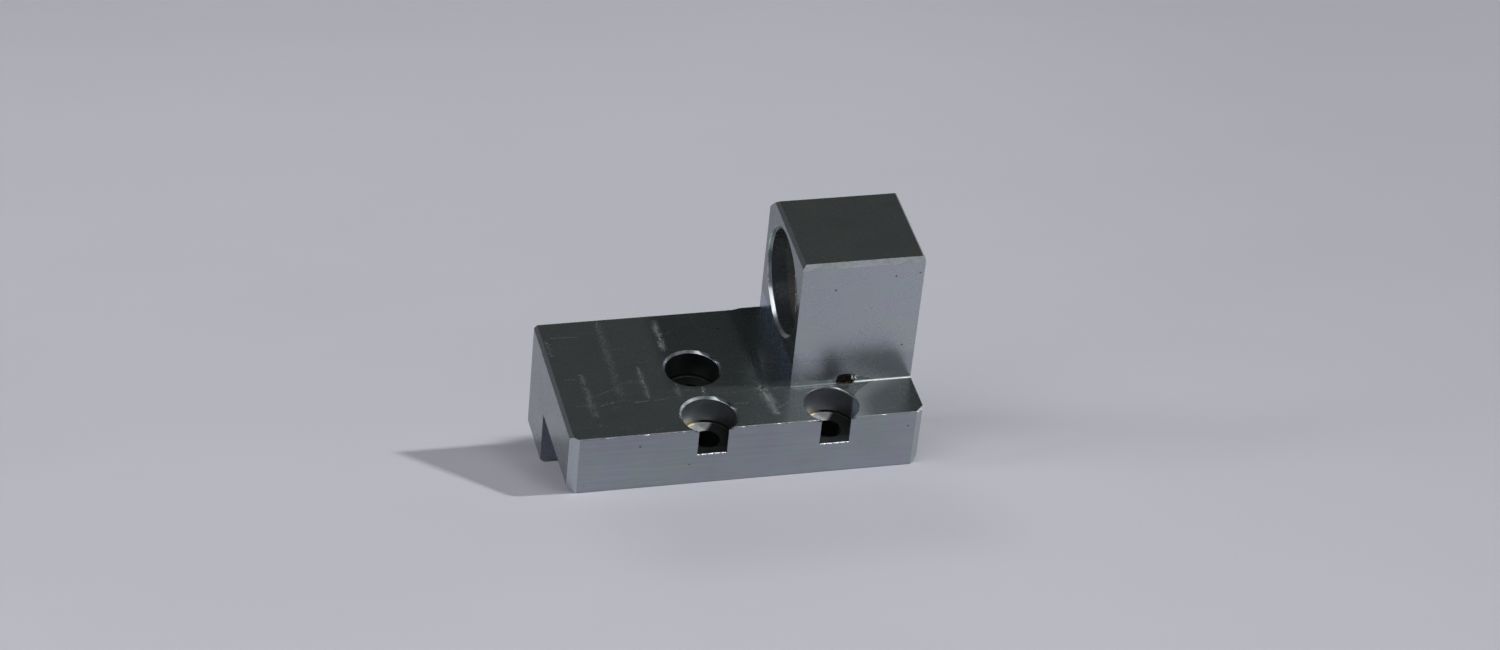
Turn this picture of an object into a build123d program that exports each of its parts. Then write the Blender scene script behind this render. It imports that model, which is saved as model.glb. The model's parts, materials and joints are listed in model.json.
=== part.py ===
"""Machined mounting block, milled from one piece of steel and plated.

The block is an L-section base with a square tower at its right end. The underside of the base is the
seat, and the rear lip hangs behind the edge of what the block is screwed to. Three counterbored screw
holes go down through the base, and a chamfered bore goes through the tower, along X.

Sizes are in millimetres. +X runs along the base towards the tower, +Y runs back towards the lip and +Z
is up. The origin is midway between the two front screws, on the seat.
"""

import os

from build123d import *

# Base
base_length = 72.0
base_depth = 37.5
base_height = 13.5  # from the seat to the top face
lip_drop = 11.7  # how far the rear lip hangs below the seat
lip_clearance = 2.25  # from the rear screw hole back to the lip
seat_corner_radius = 0.4  # left by the cutter between the seat and the lip

# Tower
tower_length = 25.0
tower_height = 29.6  # above the top face of the base
tower_clearance = 1.1  # from the right front counterbore back to the tower
tower_rear_chamfer = 4.0
tower_foot_radius = 0.3

# Bore through the tower, 21.4 across with the sizes above
bore_wall = 2.45  # left in front of, behind and above the bore
bore_chamfer = 0.65

# Screw holes, for M5 cap screws with their heads sunk
screw_spacing = 25.0
screw_row_gap = 15.0  # from the front screws back to the rear one
screw_from_end = 28.75  # from the left end to the left screws
screw_from_front = 4.6  # the counterbores break out through the front face
screw_clearance_diameter = 5.3
head_diameter = 11.0
head_depth = 6.2
head_floor_radius = 0.4
wide_rim_chamfer = 0.45
narrow_rim_chamfer = 0.18

# Edges
front_corner_chamfer = 1.7
end_chamfer = 0.9  # under both ends of the base and of the lip
base_left_edge_break = 0.7
tower_left_edge_break = 0.7
tower_right_edge_break = 0.4
tower_front_edge_break = 0.9
tower_corner_break = 0.35
edge_break = 0.2  # the remaining long edges, touched with a file

# A second milling pass left the top face slightly high beside the tower, rising towards the back
pass_width = 5.8
pass_ramp = 1.8
pass_height = 0.34
pass_start_height = 0.02
pass_start = 3.5  # behind the front face

# A corroded hollow in the corner at the foot of the tower's front face: each pocket is given by its
# distance from the tower's left face, its height above the base and its radius
hollow_pockets = [
    (9.95, 0.35, 0.62),
    (10.25, 1.25, 0.72),
    (11.00, 0.55, 0.85),
    (11.30, 1.45, 0.66),
    (12.05, 1.15, 0.74),
    (12.35, 0.30, 0.66),
    (12.95, 0.55, 0.42),
]

# Places that follow from the sizes
left_end = -screw_spacing / 2 - screw_from_end
right_end = left_end + base_length
front_face = -screw_from_front
back_face = front_face + base_depth
head_radius = head_diameter / 2
clearance_radius = screw_clearance_diameter / 2
lip_face = screw_row_gap + clearance_radius + lip_clearance
tower_left = right_end - tower_length
tower_front = head_radius + tower_clearance
tower_depth = back_face - tower_front
tower_top = base_height + tower_height
bore_y = tower_front + tower_depth / 2
bore_z = tower_top - tower_depth / 2
bore_radius = tower_depth / 2 - bore_wall


with BuildPart() as mounting_block:
    # L-section base
    with BuildSketch(Plane.YZ.offset(left_end)):
        with BuildLine():
            Polyline(
                (front_face, 0),
                (lip_face, 0),
                (lip_face, -lip_drop),
                (back_face, -lip_drop),
                (back_face, base_height),
                (front_face, base_height),
                close=True,
            )
        make_face()
    extrude(amount=base_length)

    # Base edges: front corners, under both ends, left end of the top face, and the cutter's radius
    front_corners = mounting_block.edges().filter_by(Axis.Z).group_by(Axis.Y)[0]
    chamfer(front_corners, length=front_corner_chamfer)
    under_edges = mounting_block.edges().filter_by(Axis.Y).group_by(Axis.Z)
    chamfer(under_edges[0] + under_edges[1], length=end_chamfer)
    top_end_edges = mounting_block.edges().filter_by(Axis.Y).group_by(Axis.Z)[-1].sort_by(Axis.X)
    chamfer(top_end_edges[0], length=base_left_edge_break)
    seat_edges = mounting_block.edges().filter_by(Axis.X).group_by(Axis.Z)[1].sort_by(Axis.Y)
    fillet(seat_edges[-1], radius=seat_corner_radius)

    # Land left beside the tower by the second milling pass
    for section_y, section_height in (
        (front_face + pass_start, pass_start_height),
        (back_face, pass_height),
    ):
        with BuildSketch(Plane.XZ.offset(-section_y)):
            with BuildLine():
                Polyline(
                    (tower_left - pass_width, base_height),
                    (tower_left - pass_width + pass_ramp, base_height + section_height),
                    (tower_left, base_height + section_height),
                    (tower_left, base_height),
                    close=True,
                )
            make_face()
    loft(ruled=True)

    # Tower, flush with the right end and the back of the base, with a small radius along its front foot
    with BuildSketch(Plane.YZ.offset(tower_left)):
        with BuildLine():
            Polyline(
                (tower_front - tower_foot_radius, base_height),
                (back_face, base_height),
                (back_face, tower_top - tower_rear_chamfer),
                (back_face - tower_rear_chamfer, tower_top),
                (tower_front, tower_top),
                (tower_front, base_height + tower_foot_radius),
            )
            RadiusArc(
                (tower_front, base_height + tower_foot_radius),
                (tower_front - tower_foot_radius, base_height),
                tower_foot_radius,
            )
        make_face()
    extrude(amount=tower_length)

    # Tower edges: top left, top right, top front and the two front corners
    tower_top_edges = mounting_block.edges().filter_by(Axis.Y).group_by(Axis.Z)[-1].sort_by(Axis.X)
    chamfer(tower_top_edges[0], length=tower_left_edge_break)
    chamfer(tower_top_edges[-1], length=tower_right_edge_break)
    tower_front_edge = mounting_block.edges().filter_by(Axis.X).group_by(Axis.Z)[-1].sort_by(Axis.Y)[0]
    chamfer(tower_front_edge, length=tower_front_edge_break)
    tower_uprights = mounting_block.edges().filter_by(Axis.Z).filter_by(
        lambda edge: edge.center().Z > base_height
    )
    chamfer(tower_uprights.group_by(Axis.Y)[0], length=tower_corner_break)

    # Remaining long edges: the top face's front and back, under the front, under the lip, the back corners
    lengthwise = mounting_block.edges().filter_by(Axis.X).filter_by(GeomType.LINE)
    outer_edges = (
        lengthwise.group_by(Axis.Y)[0]
        + lengthwise.group_by(Axis.Z)[0]
        + mounting_block.edges().filter_by(Axis.Z).group_by(Axis.Y)[-1]
    )
    chamfer(outer_edges, length=edge_break)

    # Bore through the tower, chamfered at both mouths
    with BuildSketch(Plane.YZ.offset(tower_left)):
        with Locations((bore_y, bore_z)):
            Circle(bore_radius)
    extrude(amount=tower_length, mode=Mode.SUBTRACT)
    bore_mouths = mounting_block.edges().filter_by(GeomType.CIRCLE).group_by(SortBy.RADIUS)[-1]
    chamfer(bore_mouths, length=bore_chamfer)

    # Screw holes: each is one stepped section, turned about the screw's axis
    for screw_x, screw_y, rim_chamfer in (
        (-screw_spacing / 2, 0, wide_rim_chamfer),
        (screw_spacing / 2, 0, narrow_rim_chamfer),
        (-screw_spacing / 2, screw_row_gap, wide_rim_chamfer),
    ):
        with BuildSketch(Plane((screw_x, screw_y, base_height), x_dir=(1, 0, 0), z_dir=(0, -1, 0))):
            with BuildLine():
                Polyline(
                    (head_radius, head_floor_radius - head_depth),
                    (head_radius, -rim_chamfer),
                    (head_radius + rim_chamfer, 0),
                    (0, 0),
                    (0, -base_height),
                    (clearance_radius, -base_height),
                    (clearance_radius, -head_depth),
                    (head_radius - head_floor_radius, -head_depth),
                )
                RadiusArc(
                    (head_radius - head_floor_radius, -head_depth),
                    (head_radius, head_floor_radius - head_depth),
                    -head_floor_radius,
                )
            make_face()
        revolve(axis=Axis((screw_x, screw_y, 0), (0, 0, 1)), mode=Mode.SUBTRACT)

    # Corroded hollow at the foot of the tower
    for along, height, pocket_radius in hollow_pockets:
        with Locations((tower_left + along, tower_front, base_height + height)):
            Sphere(pocket_radius, mode=Mode.SUBTRACT)

mounting_block.part.label = "mounting_block"

os.makedirs("parts", exist_ok=True)
export_step(mounting_block.part, "parts/mounting_block.step")
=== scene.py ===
"""Machined mounting block: an L-section base with a bored tower, milled from steel and zinc plated.

The block's solid comes from the frame. This file gives it its finish, adds the burrs, rust and residue
that stand on its surface, and sets it on a plain studio floor. It is laid out as an add-on: the sizes and
colours a user would change are properties, and each group of pieces is one operator.

Patterns and pieces are worked out in millimetres and written to the meshes in metres.
"""

import functools
import json
import math

import bmesh
import bpy
import numpy as np
from mathutils import Matrix, Vector
from mathutils.bvhtree import BVHTree


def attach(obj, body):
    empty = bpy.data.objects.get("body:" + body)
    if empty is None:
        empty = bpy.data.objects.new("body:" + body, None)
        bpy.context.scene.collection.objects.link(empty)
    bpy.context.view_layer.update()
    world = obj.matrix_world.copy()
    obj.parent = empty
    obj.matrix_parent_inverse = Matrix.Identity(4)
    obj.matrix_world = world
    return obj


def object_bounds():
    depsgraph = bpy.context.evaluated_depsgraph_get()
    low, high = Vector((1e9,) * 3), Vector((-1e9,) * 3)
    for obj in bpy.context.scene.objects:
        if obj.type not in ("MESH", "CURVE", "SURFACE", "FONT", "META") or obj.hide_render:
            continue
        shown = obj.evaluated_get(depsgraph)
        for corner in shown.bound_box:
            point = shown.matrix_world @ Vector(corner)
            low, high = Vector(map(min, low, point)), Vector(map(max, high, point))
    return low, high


bl_info = {
    "name": "Machined Mounting Block",
    "version": (1, 0, 0),
    "blender": (4, 5, 0),
    "location": "View3D > Sidebar > Mounting Block",
    "description": "Finish, wear and studio stage for a machined mounting block",
    "category": "Object",
}

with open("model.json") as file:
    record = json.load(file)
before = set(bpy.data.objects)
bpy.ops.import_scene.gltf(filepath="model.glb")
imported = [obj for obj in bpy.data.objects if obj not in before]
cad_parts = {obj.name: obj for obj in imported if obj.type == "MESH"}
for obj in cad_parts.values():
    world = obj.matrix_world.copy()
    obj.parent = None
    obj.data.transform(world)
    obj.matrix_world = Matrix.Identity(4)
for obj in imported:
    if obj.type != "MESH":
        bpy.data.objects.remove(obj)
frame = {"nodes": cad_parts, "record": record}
cad_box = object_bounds()

MM = 0.001
BODY = "root"
NODE = "mounting_block"
FORWARD, UPWARD = np.array((0.0, -1.0, 0.0)), np.array((0.0, 0.0, 1.0))


# ---------------------------------------------------------------------------------------------------
# Sizes read from the frame
# ---------------------------------------------------------------------------------------------------


def mesh_points(node):
    """The node's vertices in millimetres, one row each."""
    mesh = frame["nodes"][node].data
    points = np.empty(len(mesh.vertices) * 3)
    mesh.vertices.foreach_get("co", points)
    return points.reshape(-1, 3) / MM


class BlockSizes:
    """Where the block's faces, holes and feet are, in millimetres, from its mesh and its mounts."""

    def __init__(self):
        points = mesh_points(NODE)
        mounts = {mount["name"]: mount for mount in frame["record"]["mounts"]}
        self.left, self.front, self.foot_z = points.min(0)
        self.right, _, self.top = points.max(0)
        heads = ("front_left_head", "front_right_head", "rear_head")
        self.screws = [np.array(mounts[name]["pos_m"][:2]) / MM for name in heads]
        self.head_radius = mounts["rear_head"]["dims"]["r_mm"]
        self.shank_radius = mounts["rear_screw"]["dims"]["r_mm"]
        self.bore_radius = mounts["tower_bore"]["dims"]["r_mm"]
        self.bore_centre = np.array(mounts["tower_bore"]["pos_m"]) / MM
        left_part = points[points[:, 0] < self.screws[0][0]]
        self.base_top = left_part[:, 2].max()
        tower = points[points[:, 2] > self.base_top + 2.0]
        self.tower_left, self.tower_front = tower[:, :2].min(0)
        # The screw holes start at the seat, Z 0, and each front one's sunk part breaks through the front face
        self.head_floor = mounts["rear_screw"]["dims"]["length_mm"]
        self.notch_half = math.sqrt(self.head_radius**2 - (self.screws[0][1] - self.front) ** 2)
        # The block lies tipped: it turns on the front edge of its lip's foot until a point before it touches
        self.foot_y = points[points[:, 2] < self.foot_z + 0.001][:, 1].min()
        before = points[points[:, 1] < self.foot_y - 1.0]
        slope = ((before[:, 2] - self.foot_z) / (self.foot_y - before[:, 1])).min()
        self.floor_tilt = math.atan(slope)


sizes = BlockSizes()


# ---------------------------------------------------------------------------------------------------
# Properties
# ---------------------------------------------------------------------------------------------------


class BlockStageSettings(bpy.types.PropertyGroup):
    floor_colour: bpy.props.FloatVectorProperty(
        name="Floor", description="Colour of the floor", subtype="COLOR", size=3, min=0, max=1,
        default=(0.485, 0.487, 0.538),
    )
    key_power: bpy.props.FloatProperty(
        name="Key light", description="Power of the small lamp at the right front", default=540.0, min=0,
        unit="POWER",
    )
    top_power: bpy.props.FloatProperty(
        name="Top light", description="Power of the soft lamp above the block", default=38.0, min=0,
        unit="POWER",
    )
    fill_power: bpy.props.FloatProperty(
        name="Fill light", description="Power of the broad lamp behind the camera", default=27.0, min=0,
        unit="POWER",
    )
    left_power: bpy.props.FloatProperty(
        name="Left light", description="Power of the lamp at the left", default=9.0, min=0, unit="POWER",
    )
    lens: bpy.props.FloatProperty(
        name="Lens", description="Focal length of the camera", default=99.84, min=20, unit="CAMERA",
    )


# ---------------------------------------------------------------------------------------------------
# Meshes
# ---------------------------------------------------------------------------------------------------


def surface_object(name, points, material, closed_across=False):
    """A mesh from grids of points, shape (..., rows, columns, 3) in millimetres, each grid joined by quads.

    Rows run along the surface and columns across it. closed_across joins the last column to the first and
    closes the poles.
    """
    rows, columns = points.shape[-3:-1]
    grids = points.reshape(-1, rows * columns, 3).shape[0]
    index = np.arange(grids * rows * columns).reshape(grids, rows, columns)
    if closed_across:
        index = np.concatenate([index, index[:, :, :1]], axis=2)
    corners = (index[:, :-1, :-1], index[:, :-1, 1:], index[:, 1:, 1:], index[:, 1:, :-1])
    quads = np.stack(corners, axis=-1).reshape(-1, 4)
    mesh = bpy.data.meshes.new(name)
    mesh.from_pydata((points.reshape(-1, 3) * MM).tolist(), [], quads.tolist())
    if closed_across:
        shell = bmesh.new()
        shell.from_mesh(mesh)
        bmesh.ops.remove_doubles(shell, verts=shell.verts, dist=1e-7)
        shell.to_mesh(mesh)
        shell.free()
    mesh.polygons.foreach_set("use_smooth", np.ones(len(mesh.polygons), bool))
    mesh.materials.append(material)
    made = bpy.data.objects.new(name, mesh)
    bpy.context.scene.collection.objects.link(made)
    return made


def fitted(piece):
    """Hands a finished piece to the block: it rides on the block's body."""
    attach(piece, BODY)


def ragged(along, seed, longest, octaves=5, fall=0.75):
    """A ragged line between -1 and 1: sines whose lengths shrink by 1.9 and whose heights shrink by fall."""
    random = np.random.default_rng(seed)
    steps = np.arange(octaves)
    lengths = longest / 1.9**steps
    starts = random.uniform(0, 2 * np.pi, octaves)
    waves = np.sin(2 * np.pi * np.asarray(along)[..., None] / lengths + starts) * fall**steps
    return waves.sum(-1) / (fall**steps).sum()


def burr_points(path, out, up, half_width, height, lean=0.0):
    """A ragged ridge on an edge, as a grid of path points by 7 points across.

    Across the ridge t runs from -1 to 1. A point lies half_width * t sideways and height * (1 - t squared)
    upwards, and the crest leans outwards by lean times its height.
    """
    t = np.linspace(-1, 1, 7)
    rise = np.asarray(height)[:, None] * (1 - t**2)
    side = half_width * t + lean * rise
    return path[:, None, :] + side[..., None] * out[:, None, :] + rise[..., None] * up[:, None, :]


def mark_points(centres, along, across, up, lengths, widths, heights):
    """Raised lens-shaped marks, one grid of 7 by 5 points for each.

    s runs along a mark and t across it, between -1 and 1. The width narrows with the root of one minus
    s squared, and the mark stands height * (1 - s squared) * (1 - t squared) above its foot, which is
    sunk by a fifth of the height.
    """
    s, t = np.meshgrid(np.linspace(-1, 1, 7), np.linspace(1, -1, 5), indexing="ij")
    measures = (lengths, widths, heights)
    lengths, widths, heights = (np.asarray(measure)[:, None, None, None] for measure in measures)
    place = centres[:, None, None, :] + (s[..., None] * lengths / 2) * along[:, None, None, :]
    place = place + (t * np.sqrt(1 - s**2 + 1e-6))[..., None] * widths / 2 * across[:, None, None, :]
    return place + ((1 - s**2) * (1 - t**2) - 0.2)[..., None] * heights * up[:, None, None, :]


def lump_points(centres, radii, seed, roughness=0.3):
    """Lumps of crust, one grid of 9 by 12 points each: spheres whose radius swells and shrinks by a sum of
    sines of direction."""
    random = np.random.default_rng(seed)
    polar, around = np.meshgrid(np.linspace(np.pi, 0, 9), np.linspace(0, 2 * np.pi, 13)[:-1], indexing="ij")
    ball = np.stack([np.sin(polar) * np.cos(around), np.sin(polar) * np.sin(around), np.cos(polar)], -1)
    swell = np.zeros((len(centres), *polar.shape))
    for wave in (2.3, 4.1, 6.7):
        turn = random.normal(size=(len(centres), 3)) * wave
        swell += np.sin(np.einsum("ijk,nk->nij", ball, turn) + random.uniform(0, 6, (len(centres), 1, 1))) / 3
    reach = np.asarray(radii)[:, None, None] * (1 + roughness * swell)
    return centres[:, None, None, :] + reach[..., None] * ball


# ---------------------------------------------------------------------------------------------------
# Patterns for materials
# ---------------------------------------------------------------------------------------------------


class Field:
    """A value in a material's nodes, so that a pattern can be written as arithmetic on millimetres."""

    def __init__(self, tree, socket):
        self.tree, self.socket = tree, socket

    def math(self, operation, *others):
        node = self.tree.nodes.new("ShaderNodeMath")
        node.operation = operation
        for slot, value in zip(node.inputs, (self, *others)):
            if isinstance(value, Field):
                self.tree.links.new(value.socket, slot)
            else:
                slot.default_value = value
        return Field(self.tree, node.outputs[0])

    def __add__(self, other):
        return self.math("ADD", other)

    def __mul__(self, other):
        return self.math("MULTIPLY", other)

    def __sub__(self, other):
        return self.math("SUBTRACT", other)

    def __truediv__(self, other):
        return self.math("DIVIDE", other)

    def smaller(self, other):
        return self.math("MINIMUM", other)

    def larger(self, other):
        return self.math("MAXIMUM", other)

    def size(self):
        return self.math("ABSOLUTE")

    def sine(self):
        return self.math("SINE")

    def without(self, mask):
        """The value where the mask is 0, and nought where it is 1."""
        return self * (mask * -1.0 + 1.0)

    def rise(self, low, high, bottom=0.0, top=1.0):
        """A smooth step from bottom at low to top at high; low above high gives the falling step."""
        node = self.tree.nodes.new("ShaderNodeMapRange")
        node.interpolation_type = "SMOOTHSTEP"
        if low > high:
            low, high, bottom, top = high, low, top, bottom
        for name, value in (("From Min", low), ("From Max", high), ("To Min", bottom), ("To Max", top)):
            node.inputs[name].default_value = value
        self.tree.links.new(self.socket, node.inputs["Value"])
        return Field(self.tree, node.outputs["Result"])

    def between(self, low, high, soft):
        """1 between low and high, falling to 0 within soft on each side of them."""
        return self.rise(low - soft, low + soft) * self.rise(high + soft, high - soft)


def vector_length(*sides):
    """The length of a vector, from the fields that are its components."""
    return functools.reduce(Field.__add__, [side * side for side in sides]).math("SQRT")


def largest(*fields):
    return functools.reduce(Field.larger, fields)


def tinted(colour, *shares):
    """A colour with its channels multiplied by three shares, or all by one, and no channel above 1."""
    shares = shares * 3 if len(shares) == 1 else shares
    return tuple(min(1.0, value * share) for value, share in zip(colour, shares))


class Pattern:
    """The nodes of one material, with its place in millimetres and its surface normal as fields."""

    def __init__(self, name):
        self.material = bpy.data.materials.new(name)
        self.material.use_nodes = True
        self.tree = self.material.node_tree
        self.surface = self.tree.nodes["Principled BSDF"]
        place = self.tree.nodes.new("ShaderNodeTexCoord")
        scale = self.tree.nodes.new("ShaderNodeVectorMath")
        scale.operation = "MULTIPLY"
        scale.inputs[1].default_value = (1 / MM,) * 3
        self.tree.links.new(place.outputs["Object"], scale.inputs[0])
        self.place = scale.outputs[0]
        self.x, self.y, self.z = self.split(self.place)
        self.nx, self.ny, self.nz = self.split(place.outputs["Normal"])

    def split(self, socket):
        node = self.tree.nodes.new("ShaderNodeSeparateXYZ")
        self.tree.links.new(socket, node.inputs[0])
        return [Field(self.tree, out) for out in node.outputs]

    def moved(self, per_mm, shift):
        node = self.tree.nodes.new("ShaderNodeMapping")
        node.inputs["Location"].default_value = (shift, shift * 1.7, shift * 2.3)
        node.inputs["Scale"].default_value = per_mm if isinstance(per_mm, tuple) else (per_mm,) * 3
        self.tree.links.new(self.place, node.inputs[0])
        return node.outputs[0]

    def noises(self, per_mm, detail=2.0, rough=0.55, shift=0.0):
        """Three unlike noises from -1 to 1, with features per millimetre, or per millimetre of X, Y and Z."""
        node = self.tree.nodes.new("ShaderNodeTexNoise")
        node.inputs["Scale"].default_value = 1.0
        node.inputs["Detail"].default_value = detail
        node.inputs["Roughness"].default_value = rough
        self.tree.links.new(self.moved(per_mm, shift), node.inputs["Vector"])
        return [field * 2.0 - 1.0 for field in self.split(node.outputs["Color"])]

    def specks(self, per_mm, size, share, shift=0.0):
        """Round specks: each cell of a jittered grid holds one, and keeps it if its random value is high."""
        node = self.tree.nodes.new("ShaderNodeTexVoronoi")
        node.inputs["Scale"].default_value = 1.0
        self.tree.links.new(self.moved(per_mm, shift), node.inputs["Vector"])
        chance = self.split(node.outputs["Color"])[0]
        distance = Field(self.tree, node.outputs["Distance"]) / per_mm
        return distance.rise(size, size * 0.4) * chance.rise(1 - share, 1 - share * 0.9)

    def distance(self, centre):
        """How far a point is from the centre, in millimetres."""
        node = self.tree.nodes.new("ShaderNodeVectorMath")
        node.operation = "DISTANCE"
        node.inputs[1].default_value = centre
        self.tree.links.new(self.place, node.inputs[0])
        return Field(self.tree, node.outputs["Value"])

    def mix(self, share, first, second):
        """A colour between first and second; each is a colour or the result of another mix."""
        node = self.tree.nodes.new("ShaderNodeMix")
        node.data_type = "RGBA"
        for name, value in (("Factor", share), ("A", first), ("B", second)):
            if isinstance(value, Field):
                self.tree.links.new(value.socket, node.inputs[name])
            elif isinstance(value, bpy.types.NodeSocket):
                self.tree.links.new(value, node.inputs[name])
            else:
                node.inputs[name].default_value = (*value, 1)
        return node.outputs["Result"]

    def join(self, colour=None, metal=None, rough=None, height=None):
        """Links the fields to the surface; a plain number is set on its socket. Height is in millimetres."""
        for value, name in ((metal, "Metallic"), (rough, "Roughness")):
            if isinstance(value, Field):
                self.tree.links.new(value.socket, self.surface.inputs[name])
            elif value is not None:
                self.surface.inputs[name].default_value = value
        if colour is not None:
            self.tree.links.new(colour, self.surface.inputs["Base Color"])
        if height is not None:
            bump = self.tree.nodes.new("ShaderNodeBump")
            bump.inputs["Strength"].default_value = 1.0
            bump.inputs["Distance"].default_value = MM
            self.tree.links.new(height.socket, bump.inputs["Height"])
            self.tree.links.new(bump.outputs[0], self.surface.inputs["Normal"])
        return self.material


# ---------------------------------------------------------------------------------------------------
# Finish of the block
# ---------------------------------------------------------------------------------------------------


class BlockFinishSettings(bpy.types.PropertyGroup):
    plate_colour: bpy.props.FloatVectorProperty(
        name="Plating", description="Colour of the zinc plating", subtype="COLOR", size=3, min=0, max=1,
        default=(0.385, 0.413, 0.43),
    )
    worn_colour: bpy.props.FloatVectorProperty(
        name="Worn plating", description="Colour where edges and tool marks are rubbed bright",
        subtype="COLOR", size=3, min=0, max=1, default=(0.72, 0.74, 0.745),
    )
    salt_colour: bpy.props.FloatVectorProperty(
        name="Salts", description="Colour of the dried plating salts in the corners", subtype="COLOR", size=3,
        min=0, max=1, default=(0.135, 0.098, 0.036),
    )
    rust_colour: bpy.props.FloatVectorProperty(
        name="Rust", description="Colour of the corroded hollow", subtype="COLOR", size=3, min=0, max=1,
        default=(0.013, 0.010, 0.007),
    )
    plate_roughness: bpy.props.FloatProperty(
        name="Roughness", description="Roughness of the clean plating", default=0.27, min=0.02, max=1,
        subtype="FACTOR",
    )
    grain_height: bpy.props.FloatProperty(
        name="Grain", description="Height of the brushed grain", default=0.0016 * MM, min=0, unit="LENGTH",
        precision=6,
    )
    burr_height: bpy.props.FloatProperty(
        name="Burrs", description="Height of the tallest burrs on the edges", default=0.32 * MM, min=0,
        unit="LENGTH",
    )


# Colours that the plating mixes in by place, whatever the settings. All but the pits' colour are painted
# shade and painted reflections
DEEP_SHADE = (0.02, 0.022, 0.024)
PAINTED_BLUE_REFLECTION = (0.31, 0.375, 0.51)
UNDER_BASE_SHADE = (0.10, 0.108, 0.155)
WELL_FLOOR_SHADE_BACK, WELL_FLOOR_SHADE_FRONT = (0.030, 0.029, 0.023), (0.085, 0.088, 0.092)
RIM_GAP_SHADE = (0.010, 0.011, 0.013)
PAINTED_DARK_RIM = (0.07, 0.078, 0.09)
PIT_SHADE = (0.045, 0.05, 0.055)
CORNER_SHADE = (0.010, 0.009, 0.008)

# The hollow in the tower's foot: its middle in X
HOLLOW_X = 17.1
# The middle of the cutter's sweep over the strip before the tower, in X and Y
SWEEP_MIDDLE = (26.5, -3.4)
# Where the painted reflection of the base on the tower's left side stops, in Z
MIRRORED_TO = 18.5
# Places between the front holes and the rear one, in Y
BETWEEN_HOLES = 8.5

# Rubbed streaks on the top of the base: X at Y 0, how far X leans for each millimetre of Y, first and last Y,
# half the width and the strength
RUBBED_STREAKS = (
    (-16.8, 0.0, 22.0, 30.5, 1.2, 1.60),
    (-16.9, 0.0, 7.0, 10.0, 1.3, 0.35),
    (-28.5, 0.0, 8.0, 31.5, 1.5, 0.26),
    (-23.3, 0.0, 7.5, 15.5, 1.1, 0.42),
    (-35.0, 0.0, 3.0, 14.5, 1.3, 0.38),
    (1.0, -0.16, -0.4, 8.2, 2.0, 0.95),
    (-11.9, 0.0, 7.2, 8.4, 0.9, 0.70),
)
# Dark specks: middle and radius
DARK_SPECKS = (
    ((25.0, sizes.tower_front, 39.3), 0.30),
    ((12.9, sizes.tower_front, 36.9), 0.36),
    ((29.9, sizes.tower_front, 39.7), 0.28),
    ((28.0, sizes.tower_front, 21.9), 0.32),
    ((21.6, sizes.tower_front, 14.0), 0.30),
    ((-27.3, sizes.front, 10.6), 0.34),
    ((-17.0, sizes.front, 5.0), 0.26),
    ((27.6, sizes.front, 10.1), 0.30),
    ((-4.3, 27.2, sizes.base_top), 0.36),
    ((4.2, 9.1, sizes.base_top + 0.15), 0.34),
    ((sizes.left, 23.3, 1.8), 0.62),
    ((sizes.left, 22.4, 4.6), 0.42),
)


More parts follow.
